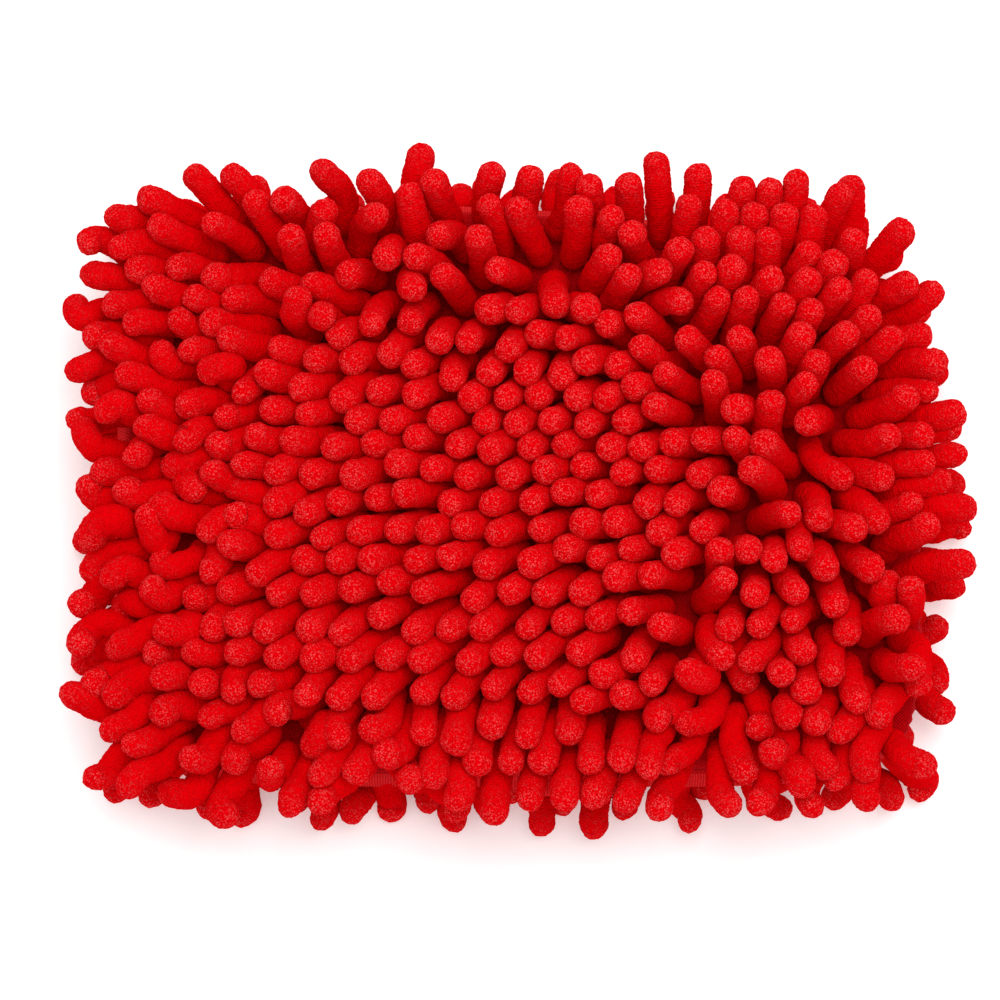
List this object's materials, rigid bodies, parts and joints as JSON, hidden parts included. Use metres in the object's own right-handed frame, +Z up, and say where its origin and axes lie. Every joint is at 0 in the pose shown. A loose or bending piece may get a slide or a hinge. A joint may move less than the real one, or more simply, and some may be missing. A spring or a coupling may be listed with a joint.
{
  "type": "wash mitt",
  "caption": "Rectangular two-faced chenille wash mitt lying flat, with rows of soft round fingers on both faces and a hand pocket open at one short end.",
  "frame": {"origin": "the middle of the mitt's outline, on the surface that it lies on", "axes": "+X along the long side from the closed end towards the mouth, +Y across the mitt away from the near side, +Z up out of the surface"},
  "size_m": [0.2884, 0.2188, 0.0619],
  "materials": {
    "chenille": "matte",
    "base_cloth": "matte",
    "lining": "matte",
    "binding_tape": "matte",
    "hem_cloth": "matte",
    "elastic": "matte",
    "thread": "matte"
  },
  "bodies": {
    "root": {"pile_row_lower_01": "chenille", "pile_row_lower_02": "chenille", "pile_row_lower_03": "chenille", "pile_row_lower_04": "chenille", "pile_row_lower_05": "chenille", "pile_row_lower_06": "chenille", "pile_row_lower_07": "chenille", "pile_row_lower_08": "chenille", "pile_row_lower_09": "chenille", "pile_row_lower_10": "chenille", "pile_row_lower_11": "chenille", "pile_row_lower_12": "chenille", "pile_row_lower_13": "chenille", "pile_row_lower_14": "chenille", "pile_row_lower_15": "chenille", "pile_row_lower_16": "chenille", "pile_row_lower_17": "chenille", "pile_row_lower_18": "chenille", "pile_row_lower_19": "chenille", "pile_row_lower_20": "chenille", "base_cloth_lower": "base_cloth", "lining_lower": "lining", "side_panel_front": "base_cloth", "side_panel_back": "base_cloth", "end_panel": "base_cloth", "binding_front": "binding_tape", "binding_back": "binding_tape", "binding_end": "binding_tape", "seam_thread_front": "thread", "seam_thread_back": "thread", "seam_thread_end": "thread", "mouth_hem_lower": "hem_cloth", "mouth_elastic_lower": "elastic", "hem_thread_lower": "thread"},
    "upper_half": {"pile_row_upper_01": "chenille", "pile_row_upper_02": "chenille", "pile_row_upper_03": "chenille", "pile_row_upper_04": "chenille", "pile_row_upper_05": "chenille", "pile_row_upper_06": "chenille", "pile_row_upper_07": "chenille", "pile_row_upper_08": "chenille", "pile_row_upper_09": "chenille", "pile_row_upper_10": "chenille", "pile_row_upper_11": "chenille", "pile_row_upper_12": "chenille", "pile_row_upper_13": "chenille", "pile_row_upper_14": "chenille", "pile_row_upper_15": "chenille", "pile_row_upper_16": "chenille", "pile_row_upper_17": "chenille", "pile_row_upper_18": "chenille", "pile_row_upper_19": "chenille", "pile_row_upper_20": "chenille", "base_cloth_upper": "base_cloth", "lining_upper": "lining", "mouth_hem_upper": "hem_cloth", "mouth_elastic_upper": "elastic", "hem_thread_upper": "thread"}
  },
  "joints": [
    {"name": "mouth_open", "type": "hinge", "parent": "root", "child": "upper_half", "pos_m": [-0.125, 0, 0.0252], "axis": [0, -1, 0], "range_deg": [0, 10]}
  ]
}
